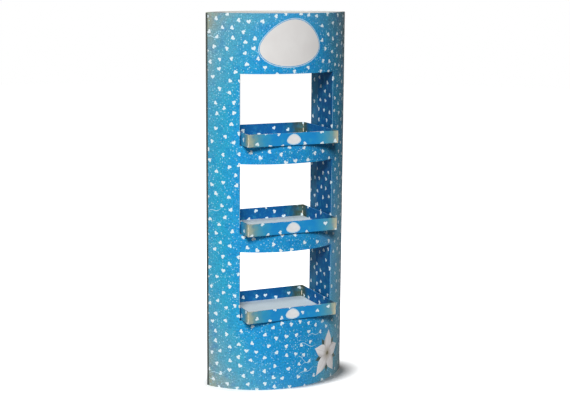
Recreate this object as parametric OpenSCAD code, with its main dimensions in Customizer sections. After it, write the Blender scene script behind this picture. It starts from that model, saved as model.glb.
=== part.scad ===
// Cardboard display stand: two curved sheets with windows, joined along both sides,
// and three trays that pass through the windows. Millimetres, front towards -Y, +Z up.
// The origin is on the floor, in the middle of the plan.

/* [Column] */
// Overall height of the stand
stand_h = 1500; // [1350:5:1800]
// Width between the two side edges, where the sheets meet
stand_w = 600; // [520:5:700]
// How far each sheet bulges out from the plane through both side edges
bulge = 164; // [145:1:185]
// Thickness of the corrugated board
board_t = 3; // [2:0.5:5]
// Gap between the cut edges of the two sheets along a side
seam_gap = 0.4; // [0.2:0.1:1]

/* [Windows] */
// Height of the closed plinth under the lowest window
plinth_h = 288; // [150:1:400]
// Height of each window
window_h = 278; // [200:1:320]
// Width of each window between its folded flaps
window_w = 394; // [300:2:420]
// Height of the band between two windows
band_h = 73; // [40:1:120]
// Depth of the front flaps, from the fold to the free edge
front_flap = 133; // [110:1:160]
// Depth of the back flaps, from the fold to the free edge
back_flap = 120; // [105:1:160]
// How far a flap narrows at the top and bottom of its free edge
flap_taper = 5; // [0:0.5:15]
// Width of the cut between a flap and the edge of its window
flap_cut = 1; // [0.5:0.5:3]
// Glue gap between a front flap and the back flap behind it
flap_glue = 0.2; // [0.1:0.1:0.5]

/* [Trays] */
// Depth of a tray from front to back
tray_d = 320; // [290:2:400]
// How far a tray is pushed forward from the middle of the plan
tray_forward = 12; // [0:1:20]
// Height of a tray's walls over its underside
tray_h = 50; // [30:1:90]
// Gap between a tray and the flaps on each side
tray_gap = 4; // [1:0.5:6]
// Thickness of the board that a tray is folded from
tray_t = 3; // [2:0.5:4]

/* [Panels] */
// Length of the top and base panels between their cut ends
panel_l = 368; // [300:2:400]
// Depth of the top panel's face under the upper edge of the sheets
panel_inset = 4; // [2:1:40]
// Height of the base panel's underside over the floor
base_gap = 12; // [4:1:60]
// Number of glue tabs along each curved edge of a panel
tab_n = 5; // [3:1:6]
// Width of a glue tab
tab_w = 44; // [30:1:50]
// Length of a glue tab from the crease
tab_l = 32; // [15:1:60]
// Gap between the tabs' upright edges and the inside of the sheets
panel_fit = 0.2; // [0.1:0.1:0.5]
// How far the panel's curved edges stand in from the faces of the tabs
panel_trim = 0.4; // [0.2:0.1:2]

/* [Seam tape] */
// Width of the tape on each sheet, from the side edge
tape_w = 8; // [5:0.5:25]
// Thickness of the tape
tape_t = 0.6; // [0.4:0.1:1.2]
// Distance from the tape's ends to the sheets' upper and lower edges
tape_end = 2; // [1:1:20]
// Glue gap under the tape
tape_glue = 0.1; // [0.05:0.05:0.3]

/* [Hidden] */
$fn = 240;
window_n = 3;
sheet_r = (pow(stand_w / 2, 2) + pow(bulge, 2)) / (2 * bulge);
inner_r = sheet_r - board_t;
axis_y = sheet_r - bulge;
window_pitch = window_h + band_h;
front_half = window_w / 2;
back_half = front_half + board_t + flap_glue;
tray_w = window_w - 2 * tray_gap;
tray_wall = 2 * tray_t;
// A flat tab meets the curved sheet along its two upright edges
tab_r = sqrt(pow(inner_r - panel_fit, 2) - pow(tab_w / 2, 2));
panel_r = tab_r - panel_trim;
panel_angle = asin(panel_l / 2 / panel_r);
tape_r = sheet_r + tape_glue;

function sill_z(i) = plinth_h + i * window_pitch;
// Distance of a sheet's outer face from the mid plane, at x
function sheet_y(x) = sqrt(pow(sheet_r, 2) - pow(x, 2)) - axis_y;

// The plan: what two circles of radius r share, their centres set apart along Y
module lens(r) {
    intersection() {
        translate([0, axis_y]) circle(r = r);
        translate([0, -axis_y]) circle(r = r);
    }
}

// Plan of one curved sheet, on the front half
module sheet_plan() {
    difference() {
        lens(sheet_r);
        lens(inner_r);
        translate([-stand_w, -seam_gap / 2]) square([2 * stand_w, stand_w]);
    }
}

// One side flap of window i, folded straight back from the window's edge at x = half
module flap(i, half, depth) {
    fold_y = -sheet_y(half);
    low = sill_z(i) + flap_cut;
    high = sill_z(i) + window_h - flap_cut;
    intersection() {
        translate([half, 0, 0]) rotate([90, 0, 90]) linear_extrude(board_t)
            polygon([[-stand_w, low], [fold_y, low], [fold_y + depth, low + flap_taper],
                     [fold_y + depth, high - flap_taper], [fold_y, high], [-stand_w, high]]);
        linear_extrude(stand_h) lens(sheet_r);
    }
}

// A whole sheet on the front half, with its windows and flaps
module curved_sheet(half, flap_depth) {
    difference() {
        linear_extrude(stand_h) sheet_plan();
        for (i = [0 : window_n - 1])
            translate([-half, -stand_w, sill_z(i)]) cube([2 * half, stand_w, window_h]);
    }
    for (i = [0 : window_n - 1], side = [0, 1])
        mirror([side, 0, 0]) flap(i, half, flap_depth);
}

// A tray in window i: the walls are folded over, so they are two boards thick
module tray(i) {
    color("steelblue") translate([0, -tray_forward, sill_z(i)]) difference() {
        linear_extrude(tray_h) square([tray_w, tray_d], center = true);
        translate([0, 0, tray_t]) linear_extrude(tray_h)
            square([tray_w - 2 * tray_wall, tray_d - 2 * tray_wall], center = true);
    }
}

// A lens-shaped panel with cut ends, its face at z = 0 and its tabs folded towards -Z
module panel() {
    color("gainsboro") {
        translate([0, 0, -board_t]) linear_extrude(board_t) intersection() {
            lens(panel_r);
            square([panel_l, stand_w], center = true);
        }
        for (side = [0, 1], k = [0 : tab_n - 1])
            mirror([0, side, 0]) translate([0, axis_y, 0])
                rotate((k + 0.5) * 2 * panel_angle / tab_n - panel_angle - 90)
                    translate([tab_r - board_t, -tab_w / 2, -tab_l]) cube([board_t, tab_w, tab_l]);
    }
}

// Tape folded round the side edge at +X
module seam_tape() {
    color("dimgray") translate([0, 0, tape_end]) linear_extrude(stand_h - 2 * tape_end)
        intersection() {
            difference() {
                lens(tape_r + tape_t);
                lens(tape_r);
            }
            translate([stand_w / 2, 0]) circle(r = tape_w);
        }
}

module front_sheet() { color("deepskyblue") curved_sheet(front_half, front_flap); }
module back_sheet() { color("deepskyblue") mirror([0, 1, 0]) curved_sheet(back_half, back_flap); }
module tray_top() { tray(2); }
module tray_middle() { tray(1); }
module tray_bottom() { tray(0); }
module top_panel() { translate([0, 0, stand_h - panel_inset]) panel(); }
module base_panel() { translate([0, 0, base_gap]) mirror([0, 0, 1]) panel(); }
module seam_tape_left() { mirror([1, 0, 0]) seam_tape(); }
module seam_tape_right() { seam_tape(); }

front_sheet();
back_sheet();
tray_top();
tray_middle();
tray_bottom();
top_panel();
base_panel();
seam_tape_left();
seam_tape_right();
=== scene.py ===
"""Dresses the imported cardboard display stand: printed board, folded flaps, trays, light and camera.

Metres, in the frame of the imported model: front towards -Y, +Z up, origin on the floor.
"""

import math
import random
from collections import namedtuple

import bpy
from mathutils import Matrix, Vector
from mathutils.geometry import delaunay_2d_cdt


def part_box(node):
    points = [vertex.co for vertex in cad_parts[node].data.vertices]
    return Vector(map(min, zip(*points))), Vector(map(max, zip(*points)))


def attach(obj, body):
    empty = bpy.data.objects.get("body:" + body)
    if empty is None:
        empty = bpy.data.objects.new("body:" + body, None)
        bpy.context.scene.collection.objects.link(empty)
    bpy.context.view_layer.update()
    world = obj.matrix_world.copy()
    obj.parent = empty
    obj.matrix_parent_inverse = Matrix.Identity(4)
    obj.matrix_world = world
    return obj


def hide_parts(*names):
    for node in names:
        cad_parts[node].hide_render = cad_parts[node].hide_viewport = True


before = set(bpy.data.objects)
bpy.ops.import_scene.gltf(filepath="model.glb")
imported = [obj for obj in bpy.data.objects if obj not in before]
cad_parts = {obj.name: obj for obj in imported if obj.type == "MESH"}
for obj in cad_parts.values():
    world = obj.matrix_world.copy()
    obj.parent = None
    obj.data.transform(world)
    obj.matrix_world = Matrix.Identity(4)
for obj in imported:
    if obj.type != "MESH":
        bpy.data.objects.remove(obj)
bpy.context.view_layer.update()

MM = 0.001

# Sizes of the frame
front_low, front_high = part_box("front_sheet")
tray_low, tray_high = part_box("tray_bottom")
TRAYS = ("tray_bottom", "tray_middle", "tray_top")
SILLS = [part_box(name)[0].z for name in TRAYS]
STAND_H = front_high.z
BULGE = -front_low.y
TRAY_W = tray_high.x - tray_low.x
TRAY_D = tray_high.y - tray_low.y
TRAY_H = tray_high.z - tray_low.z
TRAY_Y = (tray_low.y + tray_high.y) / 2

# Sizes that the frame's boxes don't give, as in the part's source
STAND_W = 600 * MM
BOARD_T = 3 * MM
FLUTE_PITCH = 6.5 * MM
SEAM_GAP = 0.4 * MM
WINDOW_H = 278 * MM
FRONT_FLAP = 133 * MM
BACK_FLAP = 120 * MM
FLAP_TAPER = 5 * MM
FLAP_CUT = 1 * MM
FLAP_GLUE = 0.2 * MM
TRAY_GAP = 4 * MM
TRAY_T = 3 * MM
TRAY_WALL = 2 * TRAY_T

# Bends of the board, measured on the outer face
FOLD_R = BOARD_T + 0.2 * MM
FOLD_STEPS = 8
TRAY_RIM_R = 1.6 * MM
TRAY_UNDER_R = 2.4 * MM
TRAY_FOLD_R = 2.2 * MM
TRAY_INNER_FOLD_R = 0.8 * MM
BEND_STEPS = 5

SHEET_R = ((STAND_W / 2) ** 2 + BULGE ** 2) / (2 * BULGE)
AXIS_Y = SHEET_R - BULGE
TIP_S = SHEET_R * math.acos((AXIS_Y + SEAM_GAP / 2) / SHEET_R)
FRONT_HALF = TRAY_W / 2 + TRAY_GAP
BACK_HALF = FRONT_HALF + BOARD_T + FLAP_GLUE

# The print: hearts, plates, flower and flourishes on the flat blank
SEED = 7
HEART_W = 17 * MM
HEART_GAP = 38 * MM
TRAY_HEART_GAP = 46 * MM
HEART_TRIES = 24000
TRAY_HEART_TRIES = 6000
HEART_SPREAD = 0.08
PLATE = (-7 * MM, 1387 * MM, 127 * MM, 90 * MM)
PLATE_LEAN = 0.12
PLATE_GAP = 2.4 * MM
PLATE_RING = 2.6 * MM
BADGE_W = 30 * MM
BADGE_H = 21.5 * MM
BADGE_RING = 4 * MM
FLOWER = (196 * MM, 110 * MM)
PETALS = 5
PETAL_L = 100 * MM
PETAL_W = 27 * MM
PETAL_BELLY = 0.88
PETAL_TURN = math.radians(84)
# How much the petals differ in length, and how fast that changes from one to the next
PETAL_UNEVEN = 0.12
PETAL_BEAT = 2.1
LEAF_L = 80 * MM
LEAF_W = 13 * MM
LEAF_BELLY = 1.2
# How far petals and leaves draw in to a point
LEAF_POINT = 1.35
FLOWER_EYE = 8 * MM
EYE_STEPS = 16
STROKE_W = 1.1 * MM
# Flourishes in millimetres: start s, start z, run, rise, wave
FLOURISHES_MM = (
    (-352, 1404, 62, 4, 7),
    (-353, 716, 66, 24, 8),
    (-353, 46, 84, 30, 9),
    (20, 40, 90, 36, 10),
    (30, 176, 92, -14, 10),
    (78, 204, 64, 8, 8),
    (26, 126, 58, -32, 9),
    (44, 84, 54, 22, 7),
)
# The torn spot on the fold beside the lowest tray
SCUFF = (-213 * MM, 345 * MM, 4.5 * MM, 8 * MM)

# The pale line that wear leaves along a flap's fold: its half width, and its distance from the cuts
FOLD_LINE = (0.4 * MM, 26 * MM)

# Worn spots along a tray's rim, and cracked print on its corner folds. The folds' rows give the height
# in walls, over 1 on the inside, then half width and half height
WORN_LINES = 26
WORN_HALF_W_MM = (6, 26)
WORN_HALF_H_MM = (0.5, 1.1)
FOLD_WEAR = (
    (0.3, 1.9 * MM, 9 * MM),
    (0.72, 1.1 * MM, 7 * MM),
    (1.66, 4.0 * MM, 11 * MM),
    (1.25, 2.4 * MM, 5 * MM),
)

# Layout of the bake maps
BAKE_MARGIN = 7 * MM
RIM_COLUMN = 1450 * MM
TRAY_BAKE = 800 * MM
TRAY_ROWS = 4
TRAY_ROW_GAP = 10 * MM
# Middle across and lower edge of a tray's floor and underside
TRAY_FLOOR_BAKE = (600 * MM, 420 * MM)
TRAY_UNDER_BAKE = (600 * MM, 20 * MM)

# Spacing of the points that keep the bent faces round
GRID_S = 12 * MM
GRID_Z = 26 * MM
CUT_EPS = 1e-7

Shape = namedtuple("Shape", "outline slot local", defaults=(None,))
# A side of a sheet: its first point, the sign of its normals, places with normals, start on the bake map
Side = namedtuple("Side", "first sign placed bake_start")
UV_LAYERS = ("Blank", "Vignette", "OFBake")


def srgb(red, green, blue):
    """A colour given as 0 to 255 display values, as linear RGBA."""
    def linear(value):
        c = value / 255
        return c / 12.92 if c <= 0.04045 else ((c + 0.055) / 1.055) ** 2.4
    return (linear(red), linear(green), linear(blue), 1.0)


# Shader graphs

# The washboard that the flutes leave in the paper: waves in the wave texture's units, and its depth
FLUTE_SCALE = 48.0
RELIEF = 0.12 * MM


class Graph:
    """A material's node tree, with short calls for the nodes used here."""

    def __init__(self, name):
        self.material = bpy.data.materials.new(name)
        self.material.use_nodes = True
        self.tree = self.material.node_tree
        self.shader = self.tree.nodes["Principled BSDF"]

    def node(self, kind, inputs=(), **settings):
        made = self.tree.nodes.new(kind)
        for key, value in settings.items():
            setattr(made, key, value)
        for key, value in dict(inputs).items():
            self.put(made.inputs[key], value)
        return made

    def put(self, socket, value):
        if isinstance(value, bpy.types.NodeSocket):
            self.tree.links.new(value, socket)
        else:
            socket.default_value = value

    def uv(self, layer):
        return self.node("ShaderNodeUVMap", uv_map=layer).outputs["UV"]

    def place(self):
        return self.node("ShaderNodeTexCoord").outputs["Object"]

    def split(self, vector):
        return self.node("ShaderNodeSeparateXYZ", {"Vector": vector}).outputs[:2]

    def scaled(self, vector, scale):
        return self.node("ShaderNodeMapping", {"Vector": vector, "Scale": scale}).outputs["Vector"]

    def math(self, operation, a, b=0.0):
        return self.node("ShaderNodeMath", {0: a, 1: b}, operation=operation).outputs[0]

    def noise(self, vector, scale, detail=2.0, roughness=0.5):
        made = self.node(
            "ShaderNodeTexNoise",
            {"Vector": vector, "Scale": scale, "Detail": detail, "Roughness": roughness},
        )
        return made.outputs["Fac"]

    def flutes(self, vector, detail):
        made = self.node(
            "ShaderNodeTexWave",
            {"Vector": vector, "Scale": FLUTE_SCALE, "Distortion": 0.4, "Detail": detail},
            bands_direction="X",
        )
        return made.outputs["Fac"]

    def length(self, vector):
        return self.node("ShaderNodeVectorMath", {0: vector}, operation="LENGTH").outputs["Value"]

    def remap(self, value, low, high, to_low=0.0, to_high=1.0):
        made = self.node(
            "ShaderNodeMapRange",
            {"Value": value, "From Min": low, "From Max": high, "To Min": to_low, "To Max": to_high},
        )
        return made.outputs["Result"]

    def ramp(self, value, stops):
        made = self.node("ShaderNodeValToRGB", {"Fac": value})
        elements = made.color_ramp.elements
        for position, colour in stops[1:-1]:
            elements.new(position).color = colour
        ends = (elements[0], elements[len(elements) - 1])
        for element, (position, colour) in zip(ends, (stops[0], stops[-1])):
            element.position = position
            element.color = colour
        return made.outputs["Color"]

    def mix(self, factor, a, b, blend="MIX"):
        made = self.node("ShaderNodeMix", data_type="RGBA", blend_type=blend)
        self.put(made.inputs["Factor"], factor)
        self.put(made.inputs["A"], a)
        self.put(made.inputs["B"], b)
        return made.outputs["Result"]

    def bump(self, height, distance, strength=1.0):
        made = self.node(
            "ShaderNodeBump", {"Height": height, "Distance": distance, "Strength": strength}
        )
        self.put(self.shader.inputs["Normal"], made.outputs["Normal"])

    def finish(self, colour, roughness, specular=0.4):
        self.put(self.shader.inputs["Base Color"], colour)
        self.put(self.shader.inputs["Roughness"], roughness)
        self.shader.inputs["Specular IOR Level"].default_value = specular
        return self.material


# Materials

PRINT_CORE = srgb(36, 150, 213)
PRINT_BLUE = srgb(38, 156, 218)
PRINT_CYAN = srgb(48, 168, 208)
PRINT_BEIGE = srgb(174, 170, 138)
# Painted shade: the blue, and the beige in the corners, that the right of a sheet is darkened towards
PAINTED_SHADE_BLUE = srgb(48, 108, 148)
PAINTED_SHADE_BEIGE = srgb(108, 114, 104)
# Painted shade: the darker colour along a sheet's right edge
PAINTED_EDGE_SHADE = srgb(46, 66, 68)
# Painted sheen: the pale glare mixed over the lower right of a sheet
PAINTED_SHEEN = srgb(168, 206, 220)
PRINT_DEEP = srgb(20, 112, 196)
PRINT_TEAL = srgb(72, 184, 204)
PRINT_SPECK = srgb(176, 232, 250)
# Painted shade mixed into the front flaps' print, and its share
FLAP_PAINTED_SHADE = srgb(5, 64, 124)
FLAP_PAINTED_SHADE_SHARE = 0.7
# Painted shade with a grey painted sheen, mixed into the back flaps' print, and its share
BACK_FLAP_SHADE_AND_SHEEN = srgb(68, 76, 82)
BACK_FLAP_SHADE_AND_SHEEN_SHARE = 0.6
PRINT_GLOSS = 0.03
# The blues of a sheet, by distance from its middle, with heights drawn in by the stretch
SHEET_BLUES = ((0.45, PRINT_CORE), (0.63, PRINT_BLUE), (0.82, PRINT_CYAN))
SHEET_STRETCH = 0.65
# How far the beige has come in, by plain distance from the sheet's middle
SHEET_BEIGE = (
    (0.85, 0.0), (0.93, 0.03), (1.0, 0.075), (1.08, 0.14), (1.16, 0.25), (1.28, 0.54), (1.38, 0.86),
)
SHEET_END = 1.45
# Painted shade where a sheet turns from the light: where the print darkens on the right and by how much,
# less of it lower down, then darker along the right edge
PAINTED_SHADE_SPAN = (0.1, 0.6, 0.0, 0.66)
PAINTED_SHADE_HEIGHT = (-0.7, 0.35, 0.0, 1.0)
PAINTED_EDGE_SPAN = (0.74, 1.0, 0.0, 0.75)
# Painted sheen on the lower right of a sheet, a pale glare over the print: where, by place across and by
# height
PAINTED_SHEEN_SPAN = (0.3, 0.8, 0.0, 0.42)
PAINTED_SHEEN_HEIGHT = (-0.2, 0.25, 1.0, 0.0)
# A tray's walls, by distance from the wall's middle: blue, teal, tan by the outer folds; inside, darker
# and olive as painted shade
TRAY_BLUE = srgb(36, 146, 214)
TRAY_OUTSIDE = (
    (0.45, TRAY_BLUE),
    (0.65, srgb(56, 155, 201)),
    (0.78, srgb(88, 160, 184)),
    (0.87, srgb(122, 163, 166)),
    (0.93, srgb(168, 182, 164)),
    (1.0, srgb(206, 197, 164)),
)
TRAY_INSIDE_PAINTED_SHADE = (
    (0.5, srgb(24, 98, 160)),
    (0.7, srgb(32, 98, 136)),
    (0.82, srgb(66, 90, 84)),
    (1.0, srgb(92, 94, 74)),
)
LEAF_TONES = ((0.35, srgb(16, 42, 40)), (0.55, srgb(30, 66, 58)), (0.72, srgb(70, 104, 84)))
EYE_TONES = ((0.35, srgb(52, 50, 30)), (0.55, srgb(112, 104, 66)), (0.7, srgb(170, 160, 120)))
# How much darker and lighter the fine grain makes the print
PRINT_GRAIN = (0.7, 1.3)
# Light dots of the print: cells per metre, radius in cells, share of cells, cluster size, strength
SPECKS = ((190.0, 0.42, 0.36, 17.0, 0.5), (120.0, 0.34, 0.4, 8.0, 0.9), (62.0, 0.2, 0.36, 11.0, 0.9))


def sheet_tone(graph, blank):
    """Blue in the middle of a sheet, cyan further out, beige in the corners, with painted shade on the
    right and along the right edge.
    """
    wander = graph.remap(graph.noise(blank, 9.0, 3.0, 0.55), 0.3, 0.7, -0.04, 0.04)
    spot = graph.uv("Vignette")
    drawn_in = graph.length(graph.scaled(spot, (1.0, SHEET_STRETCH, 0.0)))
    base = graph.ramp(graph.math("ADD", drawn_in, wander), SHEET_BLUES)
    distance = graph.math("ADD", graph.length(spot), wander)
    shares = [(at / SHEET_END, (share, share, share, 1.0)) for at, share in SHEET_BEIGE]
    beige = graph.ramp(graph.math("DIVIDE", distance, SHEET_END), shares)
    base = graph.mix(beige, base, PRINT_BEIGE)
    across, up = graph.split(spot)
    # Painted shade on the right of the sheet, less of it lower down
    shade = graph.remap(across, *PAINTED_SHADE_SPAN)
    height = graph.remap(up, *PAINTED_SHADE_HEIGHT)
    shaded = graph.mix(beige, PAINTED_SHADE_BLUE, PAINTED_SHADE_BEIGE)
    base = graph.mix(graph.math("MULTIPLY", shade, height), base, shaded)
    # Darker painted shade along the right edge
    edge = graph.remap(across, *PAINTED_EDGE_SPAN)
    return graph.mix(graph.math("MULTIPLY", edge, height), base, PAINTED_EDGE_SHADE)


def sheet_colour(graph, blank):
    """The sheet's print, with a painted sheen over its lower right."""
    across, up = graph.split(graph.uv("Vignette"))
    # Painted sheen over the lower right
    sheen = graph.remap(across, *PAINTED_SHEEN_SPAN)
    low = graph.remap(up, *PAINTED_SHEEN_HEIGHT)
    return graph.mix(graph.math("MULTIPLY", sheen, low), sheet_tone(graph, blank), PAINTED_SHEEN)


def flap_colour(graph, blank):
    """The sheet's print, darkened on the front flaps with painted shade."""
    return graph.mix(FLAP_PAINTED_SHADE_SHARE, sheet_tone(graph, blank), FLAP_PAINTED_SHADE)


def back_flap_colour(graph, blank):
    """The sheet's print, darker and greyer on the back flaps with painted shade and a grey painted
    sheen.
    """
    return graph.mix(BACK_FLAP_SHADE_AND_SHEEN_SHARE, sheet_tone(graph, blank), BACK_FLAP_SHADE_AND_SHEEN)


def tray_colour(graph, blank):
    """Blue along a tray's wall and tan by its folds, and on the inside darker and olive as painted
    shade.
    """
    along, inside = graph.split(graph.uv("Vignette"))
    wander = graph.remap(graph.noise(blank, 30.0, 3.0, 0.6), 0.3, 0.7, -0.05, 0.05)
    share = graph.math("ADD", graph.math("ABSOLUTE", along), wander)
    walls = [graph.ramp(share, stops) for stops in (TRAY_OUTSIDE, TRAY_INSIDE_PAINTED_SHADE)]
    return graph.mix(inside, *walls)


def mottled(graph, blank, base, speckled):
    """A printed colour with deeper and paler patches, and fine grain and light specks if wanted."""
    deep = graph.remap(graph.noise(blank, 26.0, 4.0, 0.6), 0.5, 0.75, 0.0, 0.4)
    base = graph.mix(deep, base, PRINT_DEEP)
    patches = graph.noise(graph.scaled(blank, (1.0, 0.8, 1.0)), 41.0, 4.0, 0.65)
    base = graph.mix(graph.remap(patches, 0.5, 0.78, 0.0, 0.45), base, PRINT_TEAL)
    if not speckled:
        return base
    grain = graph.remap(graph.noise(blank, 150.0, 3.0, 0.7), 0.3, 0.7, *PRINT_GRAIN)
    base = graph.mix(1.0, base, grain, "MULTIPLY")
    return graph.mix(specks(graph, blank), base, PRINT_SPECK)


def specks(graph, blank):
    """Clusters of tiny light dots, as a factor."""
    total = 0.0
    for scale, radius, share, spread, strength in SPECKS:
        cells = graph.node("ShaderNodeTexVoronoi", {"Vector": blank, "Scale": scale})
        dot = graph.remap(cells.outputs["Distance"], radius * 0.5, radius, strength, 0.0)
        cluster = graph.remap(graph.noise(blank, spread, 2.0), 0.34, 0.62)
        pick = graph.node("ShaderNodeSeparateColor", {"Color": cells.outputs["Color"]}).outputs["Red"]
        chosen = graph.math("LESS_THAN", pick, graph.math("MULTIPLY", cluster, share))
        total = graph.math("MAXIMUM", total, graph.math("MULTIPLY", dot, chosen))
    return total


def board_relief(graph, layer="Blank"):
    """The faint washboard that the flutes leave in the face of the board, with paper grain."""
    blank = graph.uv(layer)
    grain = graph.math("MULTIPLY", graph.noise(blank, 700.0, 2.0), 0.5)
    graph.bump(graph.math("ADD", graph.flutes(blank, 1.0), grain), RELIEF, 0.5)


def printed_face(name, colour, speckled=True):
    """The printed, varnished face of the board, in a colour that grows from the blank."""
    graph = Graph(name)
    board_relief(graph)
    blank = graph.uv("Blank")
    gloss = graph.remap(graph.noise(blank, 30.0, 3.0), 0.3, 0.7, 0.5, 0.62)
    return graph.finish(mottled(graph, blank, colour(graph, blank), speckled), gloss, PRINT_GLOSS)


def white_ink(name, light, dark, scale):
    """Unprinted white of the printed face, a little uneven."""
    graph = Graph(name)
    board_relief(graph)
    tone = graph.remap(graph.noise(graph.uv("Blank"), scale, 3.0), 0.35, 0.68)
    colour = graph.mix(tone, dark, light)
    return graph.finish(colour, graph.remap(tone, 0.0, 1.0, 0.5, 0.42), PRINT_GLOSS)


def petal_print():
    """Pale petals with fine veins, shaded along one side, darker and warmer towards the eye."""
    graph = Graph("petal_print")
    board_relief(graph)
    local = graph.uv("Vignette")
    across, along = graph.split(local)
    veins = graph.noise(graph.scaled(local, (9.0, 0.8, 1.0)), 1.6, 3.0)
    colour = graph.ramp(along, [
        (0.0, srgb(132, 122, 94)), (0.14, srgb(200, 192, 182)),
        (0.36, srgb(250, 247, 247)), (1.0, srgb(255, 254, 255)),
    ])
    shade = graph.remap(veins, 0.45, 0.75, 0.0, 0.18)
    fold = graph.remap(graph.math("ABSOLUTE", across), 0.0, 0.14, 0.2, 0.0)
    edge = graph.remap(across, 0.35, 0.95, 0.0, 0.6)
    shade = graph.math("MAXIMUM", graph.math("MAXIMUM", shade, fold), edge)
    colour = graph.mix(shade, colour, srgb(140, 130, 126))
    return graph.finish(colour, graph.remap(veins, 0.0, 1.0, 0.44, 0.52))


def fine_print(name, scale, detail, tones, dull):
    """Print of a small shape, in tones that follow a fine noise."""
    graph = Graph(name)
    board_relief(graph)
    tone = graph.noise(graph.uv("Blank"), scale, detail)
    return graph.finish(graph.ramp(tone, tones), graph.remap(tone, 0.3, 0.7, 0.44, dull))


def paper_liner(name, light, dark, layer=None):
    """The unprinted paper of the board: off-white, with fibres and a trace of the flutes."""
    graph = Graph(name)
    place = graph.uv(layer) if layer else graph.place()
    fibres = graph.noise(graph.scaled(place, (1.0, 0.35, 1.0)), 420.0, 4.0, 0.7)
    blotch = graph.noise(place, 12.0, 3.0)
    colour = graph.ramp(fibres, [(0.3, dark), (0.6, light)])
    colour = graph.mix(graph.remap(blotch, 0.45, 0.75, 0.0, 0.35), colour, dark)
    graph.bump(graph.math("ADD", graph.flutes(place, 2.0), fibres), RELIEF, 0.5)
    return graph.finish(colour, graph.remap(blotch, 0.3, 0.7, 0.72, 0.84), 0.25)


def cut_edge():
    """The cut edge of corrugated board: two liners, wavy paper between them, and painted shade in the
    dark hollows.
    """
    graph = Graph("cut_edge")
    run, depth = graph.split(graph.uv("Blank"))
    along = graph.math("MULTIPLY", run, 2 * math.pi / FLUTE_PITCH)
    across = graph.math("DIVIDE", depth, BOARD_T)
    wave = graph.math("MULTIPLY", graph.math("SINE", along), 0.3)
    off_wave = graph.math("ABSOLUTE", graph.math("SUBTRACT", graph.math("SUBTRACT", across, 0.5), wave))
    off_middle = graph.math("ABSOLUTE", graph.math("SUBTRACT", across, 0.5))
    paper = graph.math(
        "MAXIMUM", graph.remap(off_wave, 0.1, 0.2, 1.0, 0.0), graph.remap(off_middle, 0.34, 0.4)
    )
    grain = graph.noise(graph.uv("Blank"), 900.0, 2.0)
    tone = graph.mix(grain, srgb(150, 143, 130), srgb(206, 202, 192))
    # Painted shade in the hollows between the paper
    colour = graph.mix(paper, srgb(74, 68, 60), tone)
    graph.bump(paper, 0.0004, 0.8)
    return graph.finish(colour, graph.remap(grain, 0.3, 0.7, 0.78, 0.88), 0.2)


def tape_with_painted_shade():
    """Matt paper tape along the side edges, dark grey in part as painted shade of the sheets' edges,
    with crumpled grain and paler worn spots.
    """
    graph = Graph("tape_with_painted_shade")
    place = graph.place()
    grain = graph.noise(graph.scaled(place, (1.0, 1.0, 0.04)), 320.0, 3.0, 0.6)
    wear = graph.noise(place, 14.0, 3.0, 0.55)
    # Dark grey, partly painted shade of the sheets' side edges
    colour = graph.ramp(grain, [(0.3, srgb(64, 72, 70)), (0.7, srgb(82, 88, 84))])
    colour = graph.mix(graph.remap(wear, 0.5, 0.75, 0.0, 0.3), colour, srgb(116, 118, 108))
    graph.bump(grain, 0.0001, 0.5)
    return graph.finish(colour, graph.remap(wear, 0.3, 0.7, 0.6, 0.72), 0.1)


PAPER = (srgb(226, 225, 221), srgb(203, 201, 195))
TRAY_PAPER = (srgb(218, 231, 237), srgb(198, 211, 218))
WORN_PAPER = (srgb(246, 240, 226), srgb(222, 210, 190))

MATERIALS = {
    # The sheet, flap and tray prints below carry painted shade, and the sheet's print also a painted
    # sheen
    "print": printed_face("sheet_print", sheet_colour),
    "flap": printed_face("flap_print", flap_colour, False),
    "back_flap": printed_face("back_flap_print", back_flap_colour, False),
    "tray_print": printed_face("tray_print", tray_colour, False),
    "heart": white_ink("heart_white", srgb(242, 252, 255), srgb(222, 244, 252), 160.0),
    "plate": white_ink("plate_white", srgb(234, 232, 230), srgb(229, 226, 224), 9.0),
    "ring": white_ink("ring_white", srgb(214, 236, 247), srgb(190, 222, 240), 60.0),
    "badge": white_ink("badge_white", srgb(246, 246, 246), srgb(236, 237, 238), 40.0),
    "stroke": white_ink("flourish_white", srgb(206, 238, 250), srgb(160, 216, 238), 120.0),
    "petal": petal_print(),
    "leaf": fine_print("leaf_print", 90.0, 3.0, LEAF_TONES, 0.52),
    "eye": fine_print("flower_eye_print", 260.0, 2.0, EYE_TONES, 0.54),
    "edge": cut_edge(),
    "liner": paper_liner("paper_liner", *PAPER, "Blank"),
    "tray_liner": paper_liner("tray_liner", *TRAY_PAPER, "Blank"),
    "scuff": paper_liner("torn_paper", *WORN_PAPER, "Blank"),
}


# Meshes made from flat blanks


class Skin:
    """Collects the faces of one piece, with a slot, corner normals and corner UVs for each."""

    def __init__(self):
        self.points = []
        self.faces = []
        self.slots = []
        self.normals = []
        self.uvs = {layer: [] for layer in UV_LAYERS}

    def add_points(self, points):
        start = len(self.points)
        self.points.extend(points)
        return start

    def add_face(self, corners, slot, normals, **uvs):
        self.faces.append(corners)
        self.slots.append(slot)
        self.normals.extend(normals)
        for layer in UV_LAYERS:
            self.uvs[layer].extend(uvs[layer])

    def make(self, name):
        kept = sorted({k for face in self.faces for k in face})
        place = {k: i for i, k in enumerate(kept)}
        mesh = bpy.data.meshes.new(name)
        faces = [[place[k] for k in face] for face in self.faces]
        mesh.from_pydata([self.points[k] for k in kept], [], faces)
        used = sorted(set(self.slots))
        for key in used:
            mesh.materials.append(MATERIALS[key])
        for polygon, slot in zip(mesh.polygons, self.slots):
            polygon.material_index = used.index(slot)
            polygon.use_smooth = True
        for layer in UV_LAYERS:
            flat = [x for pair in self.uvs[layer] for x in pair]
            mesh.uv_layers.new(name=layer).data.foreach_set("uv", flat)
        mesh.normals_split_custom_set(self.normals)
        piece = bpy.data.objects.new(name, mesh)
        bpy.context.scene.collection.objects.link(piece)
        return piece


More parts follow.
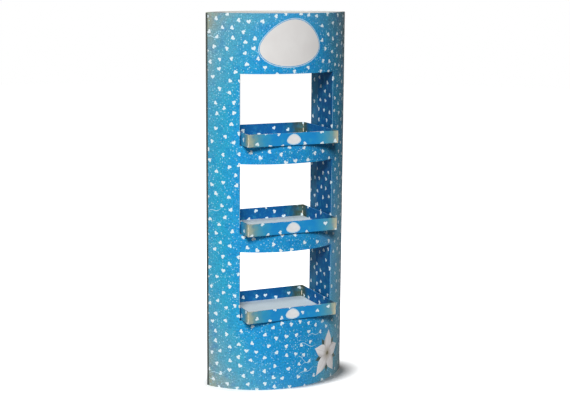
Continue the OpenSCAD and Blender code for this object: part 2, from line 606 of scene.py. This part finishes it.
def cut_blank(outline, holes, shapes, lines, points):
    """Cuts a flat blank into triangles along the holes, the printed shapes and the fold lines.

    Returns the points and, for each triangle, its corners and the printed shape that it lies in."""
    verts, edges, faces = [], [], []
    for loop in [outline, *holes, *[shape.outline for shape in shapes]]:
        faces.append(list(range(len(verts), len(verts) + len(loop))))
        verts.extend(loop)
    for line in lines:
        start = len(verts)
        verts.extend(line)
        edges.extend((start + k, start + k + 1) for k in range(len(line) - 1))
    verts.extend(points)
    made = delaunay_2d_cdt([Vector(p) for p in verts], edges, faces, 0, CUT_EPS, True)
    first_shape = 1 + len(holes)
    triangles = []
    for corners, inside in zip(made[2], made[5]):
        if 0 in inside and not any(0 < k < first_shape for k in inside):
            top = max(inside)
            shape = shapes[top - first_shape] if top >= first_shape else None
            triangles.append((list(corners), shape))
    return made[0], triangles


def stepped(loop, step):
    """A closed outline with points added, so that no side is longer than the step."""
    fine = []
    for (s, z), (s2, z2) in zip(loop, loop[1:] + loop[:1]):
        parts = max(1, math.ceil(math.dist((s, z), (s2, z2)) / step))
        fine += [(s + (s2 - s) * k / parts, z + (z2 - z) * k / parts) for k in range(parts)]
    return fine


def boundary(triangles):
    """The edges that only one triangle has, in that triangle's direction."""
    count = {}
    for corners, _ in triangles:
        for k in range(3):
            edge = (corners[k], corners[(k + 1) % 3])
            count[frozenset(edge)] = None if frozenset(edge) in count else edge
    return [edge for edge in count.values() if edge]


def chained(edges):
    """The same edges, ordered head to tail."""
    follow = {}
    for a, b in edges:
        follow.setdefault(a, []).append(b)
    chain = []
    while follow:
        a = next(iter(follow))
        while a in follow:
            b = follow[a].pop()
            if not follow[a]:
                del follow[a]
            chain.append((a, b))
            a = b
    return chain


def circle(s, z, radius, steps):
    turns = [2 * math.pi * k / steps for k in range(steps)]
    return [(s + radius * math.cos(t), z + radius * math.sin(t)) for t in turns]


def heart_outline(s, z, width, turn, steps=20):
    outline = []
    for k in range(steps):
        t = 2 * math.pi * k / steps
        x = -16 * math.sin(t) ** 3
        y = 13 * math.cos(t) - 5 * math.cos(2 * t) - 2 * math.cos(3 * t) - math.cos(4 * t) + 2.5
        x, y = x * width / 32, y * width / 32
        outline.append((
            s + x * math.cos(turn) - y * math.sin(turn),
            z + x * math.sin(turn) + y * math.cos(turn),
        ))
    return outline


def scatter(rng, low, high, gap, allowed, tries=HEART_TRIES):
    """Points thrown at random between two corners, none nearer to another than the gap."""
    cells, found = {}, []
    for _ in range(tries):
        p = (rng.uniform(low[0], high[0]), rng.uniform(low[1], high[1]))
        cell = (int(p[0] // gap), int(p[1] // gap))
        around = [(cell[0] + i, cell[1] + j) for i in (-1, 0, 1) for j in (-1, 0, 1)]
        near = [q for key in around for q in cells.get(key, [])]
        if allowed(*p) and all(math.dist(p, q) > gap for q in near):
            cells.setdefault(cell, []).append(p)
            found.append(p)
    return found


def hearts(rng, centres):
    shapes = []
    for s, z in centres:
        width = HEART_W * rng.uniform(1 - HEART_SPREAD, 1 + HEART_SPREAD)
        turn = rng.uniform(-math.pi, math.pi)
        shapes.append(Shape(heart_outline(s, z, width, turn), "heart"))
    return shapes


def bent(p0, p1, p2, p3, t):
    """A point of a cubic curve."""
    u = 1 - t
    shares = (u ** 3, 3 * u ** 2 * t, 3 * u * t ** 2, t ** 3)
    return tuple(sum(k * x for k, x in zip(shares, axis)) for axis in zip(p0, p1, p2, p3))


def pebble(s, z, half_w, half_h, lean=0.0, steps=14):
    """An egg outline that leans to the right, round below and narrower above its widest place."""
    waist = -0.2
    upper = [bent((1, 0), (1, 0.36), (0.5, 1), (0, 1), k / steps) for k in range(steps)]
    lower = [bent((1, 0), (1, -0.55), (0.55, -1), (0, -1), k / steps) for k in range(steps)]
    unit = upper + [(0, 1)] + [(-x, y) for x, y in upper[:0:-1]]
    unit += [(-x, y) for x, y in lower] + [(0, -1)] + lower[:0:-1]
    outline = []
    for x, y in unit:
        height = half_h * (waist + y * (1 - waist if y > 0 else 1 + waist))
        outline.append((s + half_w * x + lean * height, z + height))
    return outline


def plate_shapes(s, z, half_w, half_h):
    """A bare plate, a thin gap round it and a pale ring round that, largest first."""
    rims = ((PLATE_GAP + PLATE_RING, "ring"), (PLATE_GAP, "print"), (0.0, "plate"))
    return [Shape(pebble(s, z, half_w + rim, half_h + rim, PLATE_LEAN), slot) for rim, slot in rims]


def leaf_shape(s, z, length, half_w, turn, belly, slot, steps=16):
    """A pointed petal or leaf that grows from (s, z), with its own across and along coordinates."""
    along = (math.cos(turn), math.sin(turn))
    sides = ([], [])
    for k in range(steps + 1):
        share = k / steps
        swell = math.sin(math.pi * share ** belly) if 0 < k < steps else 0.0
        half = half_w * swell ** LEAF_POINT
        for side, sign in zip(sides, (1, -1)):
            side.append((
                s + along[0] * length * share - along[1] * half * sign,
                z + along[1] * length * share + along[0] * half * sign,
            ))

    def local(p, q):
        dx, dz = p - s, q - z
        return (
            (along[0] * dz - along[1] * dx) / half_w,
            (along[0] * dx + along[1] * dz) / length,
        )
    outline = sides[1] + sides[0][-2:0:-1]
    return Shape(outline, slot, local)


def flower_shapes():
    s, z = FLOWER
    step = 2 * math.pi / PETALS
    shapes = []
    for k in range(PETALS):
        turn = PETAL_TURN + (k + 0.5) * step
        shapes.append(leaf_shape(s, z, LEAF_L, LEAF_W, turn, LEAF_BELLY, "leaf"))
    for k in range(PETALS):
        turn = PETAL_TURN + k * step
        length = PETAL_L * (1.0 - PETAL_UNEVEN * math.sin(PETAL_BEAT * k))
        shapes.append(leaf_shape(s, z, length, PETAL_W, turn, PETAL_BELLY, "petal"))
    return shapes + [Shape(circle(s, z, FLOWER_EYE, EYE_STEPS), "eye")]


def flourish_shape(s, z, run, rise, wave, steps=24):
    """A thin wavy stroke that tapers at both ends."""
    upper, lower = [], []
    for k in range(steps + 1):
        share = k / steps
        x = s + run * share
        y = z + rise * share + wave * math.sin(2 * math.pi * share) * (1 - 0.5 * share)
        half = STROKE_W * (0.25 + math.sin(math.pi * share))
        upper.append((x, y + half))
        lower.append((x, y - half))
    return Shape(lower + upper[::-1], "stroke")


def scuff_shape(rng, s, z, half_w, half_h, steps=12):
    outline = []
    for k in range(steps):
        t = 2 * math.pi * k / steps
        rough = rng.uniform(0.7, 1.15)
        outline.append((s + half_w * rough * math.cos(t), z + half_h * rough * math.sin(t)))
    return Shape(outline, "scuff")


# The two curved sheets


class Sheet:
    """A curved sheet as its flat blank: s runs to the right on the outer face, z runs up.

    The face is 1 for the front sheet and -1 for the back one, which is the same turned round."""

    def __init__(self, half, flap, face, flap_slot):
        self.half = half
        self.face = face
        self.flap_slot = flap_slot
        reach = SHEET_R - FOLD_R
        self.fold_angle = math.asin((half + FOLD_R) / reach)
        self.fold_q = reach * math.cos(self.fold_angle)
        self.turn = math.pi / 2 + self.fold_angle
        self.fold_s = SHEET_R * self.fold_angle
        self.flat_s = self.fold_s - FOLD_R * self.turn
        self.crease_s = self.fold_s - FOLD_R * self.turn / 4
        free_q = math.sqrt(SHEET_R ** 2 - half ** 2) - flap
        self.free_s = self.flat_s - (self.fold_q - free_q)

    def on_flap(self, s, z):
        levels = [sill for sill in SILLS if sill + FLAP_CUT / 2 < z < sill + WINDOW_H - FLAP_CUT / 2]
        return bool(levels) and abs(s) < self.fold_s

    def place(self, s, z, depth=0.0):
        """Where a point of the blank lies once folded, depth under the outer face, with its normal."""
        across = abs(s)
        if self.on_flap(s, z):
            angle = self.fold_angle - min((self.fold_s - across) / FOLD_R, self.turn)
            out = (math.sin(angle), math.cos(angle))
            x = self.half + FOLD_R + (FOLD_R - depth) * out[0]
            q = self.fold_q + (FOLD_R - depth) * out[1] - max(0.0, self.flat_s - across)
        else:
            radius = SHEET_R - depth
            angle = min(across / SHEET_R, math.acos((AXIS_Y + SEAM_GAP / 2) / radius))
            out = (math.sin(angle), math.cos(angle))
            x, q = radius * out[0], radius * out[1]
        sign = self.face * math.copysign(1.0, s)
        point = Vector((sign * x, -self.face * (q - AXIS_Y), z))
        return point, Vector((sign * out[0], -self.face * out[1], 0.0))

    def base_slot(self, corners):
        """The print under the printed shapes, which on the flaps is another one, darkened with painted
        shade.
        """
        s, z = (sum(values) / len(values) for values in zip(*corners))
        return self.flap_slot if self.on_flap(s, z) and abs(s) < self.crease_s else "print"

    def hole(self, sill):
        """What is cut out of the blank at one window, the cuts beside its two flaps included."""
        low, high = sill, sill + WINDOW_H
        right = [
            (self.fold_s, low), (self.fold_s, low + FLAP_CUT),
            (self.free_s, low + FLAP_CUT + FLAP_TAPER), (self.free_s, high - FLAP_CUT - FLAP_TAPER),
            (self.fold_s, high - FLAP_CUT), (self.fold_s, high),
        ]
        return right + [(-s, z) for s, z in reversed(right)]

    def in_hole(self, s, z):
        return abs(s) < self.free_s and any(sill < z < sill + WINDOW_H for sill in SILLS)

    def fold_lines(self):
        """Upright lines on which the flaps start, bend and run flat."""
        lines = []
        for sill in SILLS:
            for k in range(FOLD_STEPS + 1):
                s = self.fold_s - FOLD_R * self.turn * k / FOLD_STEPS
                inset = FLAP_CUT + FLAP_TAPER * (self.fold_s - s) / (self.fold_s - self.free_s)
                low, high = sill + inset, sill + WINDOW_H - inset
                for sign in (1, -1):
                    lines.append([(sign * s, low), (sign * s, high)])
        return lines

    def grid(self):
        columns = int(2 * TIP_S / GRID_S)
        rows = int(STAND_H / GRID_Z)
        return [
            ((2 * (i + 0.5) / columns - 1) * TIP_S, (j + 0.5) / rows * STAND_H)
            for i in range(columns)
            for j in range(rows)
        ]


def fold_marks(sheet):
    """Pale worn lines along the folds of the flaps, pointed at both ends."""
    half, end = FOLD_LINE
    shapes = []
    for sill in SILLS:
        low, high = sill + end, sill + WINDOW_H - end
        for s in (sheet.crease_s, -sheet.crease_s):
            right = [(s, low), (s + half, low + end), (s + half, high - end)]
            left = [(s, high), (s - half, high - end), (s - half, low + end)]
            shapes.append(Shape(right + left, "stroke"))
    return shapes


def sheet_print(sheet, rng, extras, clear):
    """All printed shapes of a sheet, later ones on top. clear holds places kept free of hearts."""
    def allowed(s, z):
        return not sheet.in_hole(s, z) and all(
            ((s - cs) / rs) ** 2 + ((z - cz) / rz) ** 2 > 1 for cs, cz, rs, rz in clear
        )
    centres = scatter(rng, (-TIP_S, 0.0), (TIP_S, STAND_H), HEART_GAP, allowed)
    return hearts(rng, centres) + fold_marks(sheet) + extras


def sheet_piece(name, sheet, shapes):
    """The folded sheet as one closed mesh: printed face, plain face and cut edges."""
    outline = stepped([(-TIP_S, 0.0), (TIP_S, 0.0), (TIP_S, STAND_H), (-TIP_S, STAND_H)], GRID_S)
    holes = [stepped(sheet.hole(sill), GRID_S) for sill in SILLS]
    flat, triangles = cut_blank(outline, holes, shapes, sheet.fold_lines(), sheet.grid())
    skin = Skin()
    outer = [sheet.place(s, z) for s, z in flat]
    inner = [sheet.place(s, z, BOARD_T) for s, z in flat]
    printed = Side(skin.add_points([point for point, _ in outer]), 1, outer, TIP_S)
    plain = Side(skin.add_points([point for point, _ in inner]), -1, inner, 3 * TIP_S + BAKE_MARGIN)
    for corners, shape in triangles:
        slot = shape.slot if shape else sheet.base_slot([flat[k] for k in corners])
        local = shape.local if shape and shape.local else centred
        add_face(skin, printed, flat, corners, slot, local)
        add_face(skin, plain, flat, corners[::-1], "liner", centred)
    add_rim(skin, flat, chained(boundary(triangles)), plain.first)
    return skin.make(name)


def add_face(skin, side, flat, corners, slot, local):
    """One triangle of a side of the sheet."""
    skin.add_face(
        [side.first + k for k in corners],
        slot,
        [side.sign * side.placed[k][1] for k in corners],
        Blank=[tuple(flat[k]) for k in corners],
        Vignette=[local(*flat[k]) for k in corners],
        OFBake=[bake_spot(flat[k][0] + side.bake_start, flat[k][1]) for k in corners],
    )


def add_rim(skin, flat, edges, under):
    """The cut edge round the blank and its windows, with a running length for the flutes."""
    run = 0.0
    for a, b in edges:
        step = math.dist(flat[a], flat[b])
        corners = [b, a, under + a, under + b]
        lengths = (run + step, run, run, run + step)
        across = (0.0, 0.0, BOARD_T, BOARD_T)
        p = [skin.points[k] for k in corners]
        normal = (p[1] - p[0]).cross(p[2] - p[1]).normalized()
        column = int(run / RIM_COLUMN)
        blank = list(zip(lengths, across))
        skin.add_face(
            corners,
            "edge",
            [normal] * 4,
            Blank=blank,
            Vignette=[(0.0, 0.0)] * 4,
            OFBake=[
                bake_spot(4 * TIP_S + BAKE_MARGIN * (2 + column) + t, u - column * RIM_COLUMN)
                for u, t in blank
            ],
        )
        run += step


def bake_spot(across, up):
    """A place on the sheet's bake map, whose side is the sheet's height."""
    return (across / (STAND_H * 1.01), up / (STAND_H * 1.01))


def centred(s, z):
    """A place on a sheet, from -1 to 1 both ways."""
    return (s / TIP_S, 2 * z / STAND_H - 1)


# The trays


class Tray:
    """A tray's wall as a flat strip: a runs round it, b runs up, over the rim and down inside."""

    def __init__(self):
        self.plan = self.bent_outline(TRAY_W, TRAY_D, TRAY_FOLD_R)
        width, depth = TRAY_W - 2 * TRAY_WALL, TRAY_D - 2 * TRAY_WALL
        self.inside = self.bent_outline(width, depth, TRAY_INNER_FOLD_R)
        self.marks = [0.0]
        for (p, _), (q, _) in zip(self.plan, self.plan[1:]):
            self.marks.append(self.marks[-1] + (q - p).length)
        self.length = self.marks[-1]
        self.profile = self.wall_profile()
        self.heights = [0.0]
        for (p, _), (q, _) in zip(self.profile, self.profile[1:]):
            self.heights.append(self.heights[-1] + (q - p).length)
        self.up = self.heights[-1]

    @staticmethod
    def bent_outline(width, depth, radius):
        """A rectangle with bent corners, with outward normals, from the middle of the back."""
        x, y = width / 2, depth / 2
        heading = math.pi
        outline = [(Vector((0.0, y)), Vector((0.0, 1.0)))]
        for corner in ((-x, y), (-x, -y), (x, -y), (x, y)):
            ahead = Vector((math.cos(heading), math.sin(heading)))
            out = Vector((ahead.y, -ahead.x))
            centre = Vector(corner) - radius * (ahead + out)
            for k in range(BEND_STEPS + 1):
                turn = heading + math.pi / 2 * k / BEND_STEPS
                normal = Vector((math.sin(turn), -math.cos(turn)))
                outline.append((centre + radius * normal, normal))
            heading += math.pi / 2
        outline.append(outline[0])
        return outline

    @staticmethod
    def wall_profile():
        """Depth in from the outside, and height, with normals, from the underside to the floor."""
        arcs = [
            (TRAY_UNDER_R, TRAY_UNDER_R, TRAY_UNDER_R, -90, 0),
            (TRAY_RIM_R, TRAY_H - TRAY_RIM_R, TRAY_RIM_R, 0, 90),
            (TRAY_WALL - TRAY_RIM_R, TRAY_H - TRAY_RIM_R, TRAY_RIM_R, 90, 180),
        ]
        profile = []
        for depth, height, radius, start, end in arcs:
            for k in range(BEND_STEPS + 1):
                angle = math.radians(start + (end - start) * k / BEND_STEPS)
                n = Vector((math.cos(angle), math.sin(angle)))
                profile.append((Vector((depth - radius * n.x, height + radius * n.y)), n))
        profile.append((Vector((TRAY_WALL, TRAY_T)), Vector((-1.0, 0.0))))
        return profile

    @staticmethod
    def along(marks, path, value):
        """The point and normal at a running length of a path whose points lie at the marks."""
        k = max(i for i in range(len(marks) - 1) if marks[i] <= value or i == 0)
        share = (value - marks[k]) / (marks[k + 1] - marks[k])
        point = path[k][0].lerp(path[k + 1][0], share)
        normal = path[k][1].lerp(path[k + 1][1], share).normalized()
        return point, normal

    def place(self, a, b):
        """Where a point of the strip lies on the folded tray, and the normal there."""
        spot, out = self.along(self.marks, self.plan, a)
        within, _ = self.along(self.marks, self.inside, a)
        level, lean = self.along(self.heights, self.profile, b)
        flat = spot.lerp(within, level.x / TRAY_WALL)
        normal = out * lean.x
        point = Vector((flat.x, flat.y + TRAY_Y, level.y))
        return point, Vector((normal.x, normal.y, lean.y)).normalized()

    def lines(self):
        upright = [[(a, 0.0), (a, self.up)] for a in self.marks]
        level = [[(0.0, b), (self.length, b)] for b in self.heights]
        return upright + level

    def grid(self):
        columns = int(self.length / GRID_Z)
        levels = (self.up * 0.25, self.up * 0.75)
        return [((i + 0.5) / columns * self.length, b) for i in range(columns) for b in levels]

    def folds(self):
        """The running lengths at which the four corners are bent."""
        return [self.marks[1 + k * (BEND_STEPS + 1) + BEND_STEPS // 2] for k in range(4)]

    def wall_share(self, a):
        """How far along its wall a place is, from -1 to 1, and 1 or -1 at the folds."""
        spot, out = self.along(self.marks, self.plan, a)
        if abs(out.x) < abs(out.y):
            return spot.x / (TRAY_W / 2)
        return spot.y / (TRAY_D / 2)

    def inner_share(self, b):
        """0 on the outside of the wall, 1 on its inside."""
        return min(max((b - TRAY_H) / TRAY_WALL, 0.0), 1.0)


def tray_shapes(tray, rng):
    """Hearts all over, a bare badge on the front, and worn spots on the outer crease of the rim."""
    middle = tray.length / 2
    badge_z = TRAY_UNDER_R * 0.4 + TRAY_H / 2

    def allowed(a, b):
        return HEART_W < a < tray.length - HEART_W and (
            abs(a - middle) > BADGE_W + HEART_W * 0.8 or b > TRAY_H + TRAY_WALL
        )
    far = (tray.length, tray.up)
    shapes = hearts(rng, scatter(rng, (0.0, 0.0), far, TRAY_HEART_GAP, allowed, TRAY_HEART_TRIES))
    crease = tray.heights[2 * BEND_STEPS]
    for _ in range(WORN_LINES):
        a = rng.uniform(0.05, 0.95) * tray.length
        half_w = rng.uniform(*WORN_HALF_W_MM) * MM
        half_h = rng.uniform(*WORN_HALF_H_MM) * MM
        shapes.append(scuff_shape(rng, a, crease, half_w, half_h, 10))
    for a in tray.folds():
        for b, half_w, half_h in FOLD_WEAR:
            height = b * TRAY_H if b < 1 else b * TRAY_H + TRAY_WALL
            shapes.append(scuff_shape(rng, a, height, half_w, half_h * rng.uniform(0.7, 1.2)))
    shapes.append(Shape(pebble(middle, badge_z, BADGE_W, BADGE_H), "ring"))
    shapes.append(Shape(pebble(middle, badge_z, BADGE_W - BADGE_RING, BADGE_H - BADGE_RING), "badge"))
    return shapes


def tray_piece(name, sill, seed):
    tray = Tray()
    rng = random.Random(seed)
    outline = [(0.0, 0.0), (tray.length, 0.0), (tray.length, tray.up), (0.0, tray.up)]
    flat, triangles = cut_blank(outline, [], tray_shapes(tray, rng), tray.lines(), tray.grid())
    lift = Vector((0.0, 0.0, sill))
    placed = [tray.place(a, b) for a, b in flat]
    skin = Skin()
    weld = {}
    index = []
    for point, _ in placed:
        key = tuple(round(x / (0.01 * MM)) for x in point)
        if key not in weld:
            weld[key] = skin.add_points([point + lift])
        index.append(weld[key])
    for corners, shape in triangles:
        if len({index[k] for k in corners}) < 3:
            continue
        middle = sum(flat[k][0] for k in corners) / 3
        row = int(TRAY_ROWS * middle / tray.length)
        skin.add_face(
            [index[k] for k in corners],
            shape.slot if shape else "tray_print",
            [placed[k][1] for k in corners],
            Blank=[tuple(flat[k]) for k in corners],
            Vignette=[(tray.wall_share(flat[k][0]), tray.inner_share(flat[k][1])) for k in corners],
            OFBake=[tray_bake_spot(tray, row, *flat[k]) for k in corners],
        )
    close_tray(skin, tray, flat, index)
    return skin.make(name)


def tray_bake_spot(tray, row, a, b):
    """A place on the tray's bake map, where the strip lies in rows."""
    left = TRAY_ROW_GAP + a - row * tray.length / TRAY_ROWS
    low = TRAY_ROW_GAP + row * (tray.up + TRAY_ROW_GAP)
    return (left / TRAY_BAKE, (low + b) / TRAY_BAKE)


def close_tray(skin, tray, flat, index):
    """The tray's floor and its underside, on the two edges of the strip."""
    for level, up, (across, low) in ((tray.up, 1.0, TRAY_FLOOR_BAKE), (0.0, -1.0, TRAY_UNDER_BAKE)):
        ring = sorted((a, index[k]) for k, (a, b) in enumerate(flat) if abs(b - level) < CUT_EPS * 10)
        loop = list(dict.fromkeys(k for _, k in ring))
        corners = loop if up > 0 else loop[::-1]
        points = [skin.points[k] for k in corners]
        front = low + TRAY_D / 2 - TRAY_Y
        skin.add_face(
            corners,
            "tray_liner",
            [Vector((0.0, 0.0, up))] * len(corners),
            Blank=[(p.x, p.y) for p in points],
            Vignette=[(0.0, 0.0)] * len(corners),
            OFBake=[((across + p.x) / TRAY_BAKE, (front + p.y) / TRAY_BAKE) for p in points],
        )


# Putting the pieces in place


def stand_in(piece, node):
    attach(piece, "root")
    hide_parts(node)


def dress(node, material):
    """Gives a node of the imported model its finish."""
    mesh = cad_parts[node].data
    mesh.materials.clear()
    mesh.materials.append(material)


def build_sheets():
    s, z, half_w, half_h = PLATE
    plate_room = (s, z, half_w + HEART_W, half_h + HEART_W)
    flower_room = (*FLOWER, PETAL_L + HEART_W / 2, PETAL_L + HEART_W / 2)
    rng = random.Random(SEED)
    extras = [flourish_shape(*[value * MM for value in row]) for row in FLOURISHES_MM]
    extras += plate_shapes(s, z, half_w, half_h)
    extras += flower_shapes()
    front = Sheet(FRONT_HALF, FRONT_FLAP, 1, "flap")
    shapes = sheet_print(front, rng, extras + [scuff_shape(rng, *SCUFF)], [plate_room, flower_room])
    stand_in(sheet_piece("printed_front_sheet", front, shapes), "front_sheet")
    back = Sheet(BACK_HALF, BACK_FLAP, -1, "back_flap")
    shapes = sheet_print(back, rng, extras, [plate_room, flower_room])
    stand_in(sheet_piece("printed_back_sheet", back, shapes), "back_sheet")


def build_trays():
    for k, (node, sill) in enumerate(zip(TRAYS, SILLS)):
        stand_in(tray_piece("printed_" + node, sill, SEED + 10 + k), node)


def finish_plain_nodes():
    liner = paper_liner("panel_liner", *PAPER)
    tape = tape_with_painted_shade()
    for node in ("top_panel", "base_panel"):
        dress(node, liner)
    for node in ("seam_tape_left", "seam_tape_right"):
        dress(node, tape)


# Stage, light and camera

CAMERA_LENS = 78.0
CAMERA_DISTANCE = 4.931
CAMERA_HEIGHT = 1.6447
CAMERA_AZIMUTH = math.radians(23.88)
CAMERA_YAW = CAMERA_AZIMUTH + math.radians(0.43)
CAMERA_PITCH = math.radians(10.34)
CAMERA_ROLL = math.radians(-0.41)

FLOOR_R = 14.0
FLOOR_CORNERS = 64
# The floor's own white: low by the base, where the shadow lies, and full further out
FLOOR_GLOW = 0.08
FLOOR_FADE = (1.0, 1.28)
FLOOR_BOUNCE = 0.34
AMBIENT = 0.03

Lamp = namedtuple("Lamp", "name azimuth elevation distance size power")
KEY = Lamp("key", math.radians(24), math.radians(32), 16.0, 4.2, 2300.0)
FILL = Lamp("fill", math.radians(93), math.radians(10), 8.0, 2.0, 80.0)
BACK_LAMP = Lamp("back_lamp", math.radians(178), math.radians(40), 8.0, 4.0, 220.0)
FLOOR_LAMP = Lamp("floor_lamp", math.radians(97), math.radians(50), 6.0, 1.8, 400.0)


def build_camera():
    data = bpy.data.cameras.new("camera")
    data.lens = CAMERA_LENS
    data.sensor_width = 36.0
    data.sensor_fit = "HORIZONTAL"
    place = Vector((
        -math.sin(CAMERA_AZIMUTH) * CAMERA_DISTANCE,
        -math.cos(CAMERA_AZIMUTH) * CAMERA_DISTANCE,
        CAMERA_HEIGHT,
    ))
    level = Vector((math.sin(CAMERA_YAW), math.cos(CAMERA_YAW), 0.0))
    ahead = level * math.cos(CAMERA_PITCH) - Vector((0.0, 0.0, math.sin(CAMERA_PITCH)))
    right = Vector((math.cos(CAMERA_YAW), -math.sin(CAMERA_YAW), 0.0))
    down = ahead.cross(right)
    rolled_right = right * math.cos(CAMERA_ROLL) + down * math.sin(CAMERA_ROLL)
    rolled_down = down * math.cos(CAMERA_ROLL) - right * math.sin(CAMERA_ROLL)
    turn = Matrix((rolled_right, -rolled_down, -ahead)).transposed()
    camera = bpy.data.objects.new("camera", data)
    camera.matrix_world = Matrix.Translation(place) @ turn.to_4x4()
    bpy.context.scene.collection.objects.link(camera)
    bpy.context.scene.camera = camera


def seen_directly(tree):
    """1 for rays that the camera sees, in mirrors and glass too, and 0 for the light itself."""
    path = tree.nodes.new("ShaderNodeLightPath")
    total = path.outputs["Is Camera Ray"]
    for name in ("Is Glossy Ray", "Is Transmission Ray"):
        either = tree.nodes.new("ShaderNodeMath")
        either.operation = "MAXIMUM"
        tree.links.new(total, either.inputs[0])
        tree.links.new(path.outputs[name], either.inputs[1])
        total = either.outputs[0]
    return total


def build_world():
    """White where the camera looks past the floor, and an even soft light otherwise."""
    world = bpy.data.worlds.new("studio")
    bpy.context.scene.world = world
    world.use_nodes = True
    tree = world.node_tree
    background = tree.nodes["Background"]
    background.inputs["Color"].default_value = (1.0, 1.0, 1.0, 1.0)
    level = tree.nodes.new("ShaderNodeMapRange")
    level.inputs["To Min"].default_value = AMBIENT
    level.inputs["To Max"].default_value = 1.0
    tree.links.new(seen_directly(tree), level.inputs["Value"])
    tree.links.new(level.outputs["Result"], background.inputs["Strength"])


def build_floor():
    """A white floor that keeps the shadow by the base and turns into the background further out."""
    graph = Graph("floor_white")
    place = graph.place()
    seen = seen_directly(graph.tree)
    footprint = graph.length(graph.scaled(place, (2 / STAND_W, 1 / BULGE, 0.0)))
    glow = graph.remap(footprint, *FLOOR_FADE, FLOOR_GLOW, 1.0)
    graph.shader.inputs["Emission Color"].default_value = (1.0, 1.0, 1.0, 1.0)
    graph.put(graph.shader.inputs["Emission Strength"], graph.math("MULTIPLY", glow, seen))
    white = graph.mix(graph.noise(place, 3.0), srgb(244, 244, 244), srgb(250, 250, 250))
    bounce = (FLOOR_BOUNCE, FLOOR_BOUNCE, FLOOR_BOUNCE, 1.0)
    material = graph.finish(graph.mix(seen, bounce, white), 0.9, 0.0)
    mesh = bpy.data.meshes.new("floor")
    corners = [(x, y, 0.0) for x, y in circle(0.0, 0.0, FLOOR_R, FLOOR_CORNERS)]
    mesh.from_pydata(corners, [], [list(range(FLOOR_CORNERS))])
    mesh.materials.append(material)
    floor = bpy.data.objects.new("floor", mesh)
    bpy.context.scene.collection.objects.link(floor)
    return floor


def build_lamp(lamp, floor, reaches_floor):
    """A square soft light aimed at the middle of the stand, for either the floor or all else."""
    data = bpy.data.lights.new(lamp.name, "AREA")
    data.shape = "SQUARE"
    data.size = lamp.size
    data.energy = lamp.power
    light = bpy.data.objects.new(lamp.name, data)
    towards = Vector((
        -math.sin(lamp.azimuth) * math.cos(lamp.elevation),
        -math.cos(lamp.azimuth) * math.cos(lamp.elevation),
        math.sin(lamp.elevation),
    ))
    light.location = Vector((0.0, 0.0, STAND_H / 2)) + towards * lamp.distance
    light.rotation_mode = "QUATERNION"
    light.rotation_quaternion = towards.to_track_quat("Z", "Y")
    bpy.context.scene.collection.objects.link(light)
    lit = bpy.data.collections.new(lamp.name + "_lights")
    lit.objects.link(floor)
    lit.collection_objects[0].light_linking.link_state = "INCLUDE" if reaches_floor else "EXCLUDE"
    light.light_linking.receiver_collection = lit


build_camera()
build_world()
floor = build_floor()
for lamp in (KEY, FILL, BACK_LAMP, FLOOR_LAMP):
    build_lamp(lamp, floor, lamp is FLOOR_LAMP)
build_sheets()
build_trays()
finish_plain_nodes()
bpy.context.scene.view_settings.view_transform = "Standard"
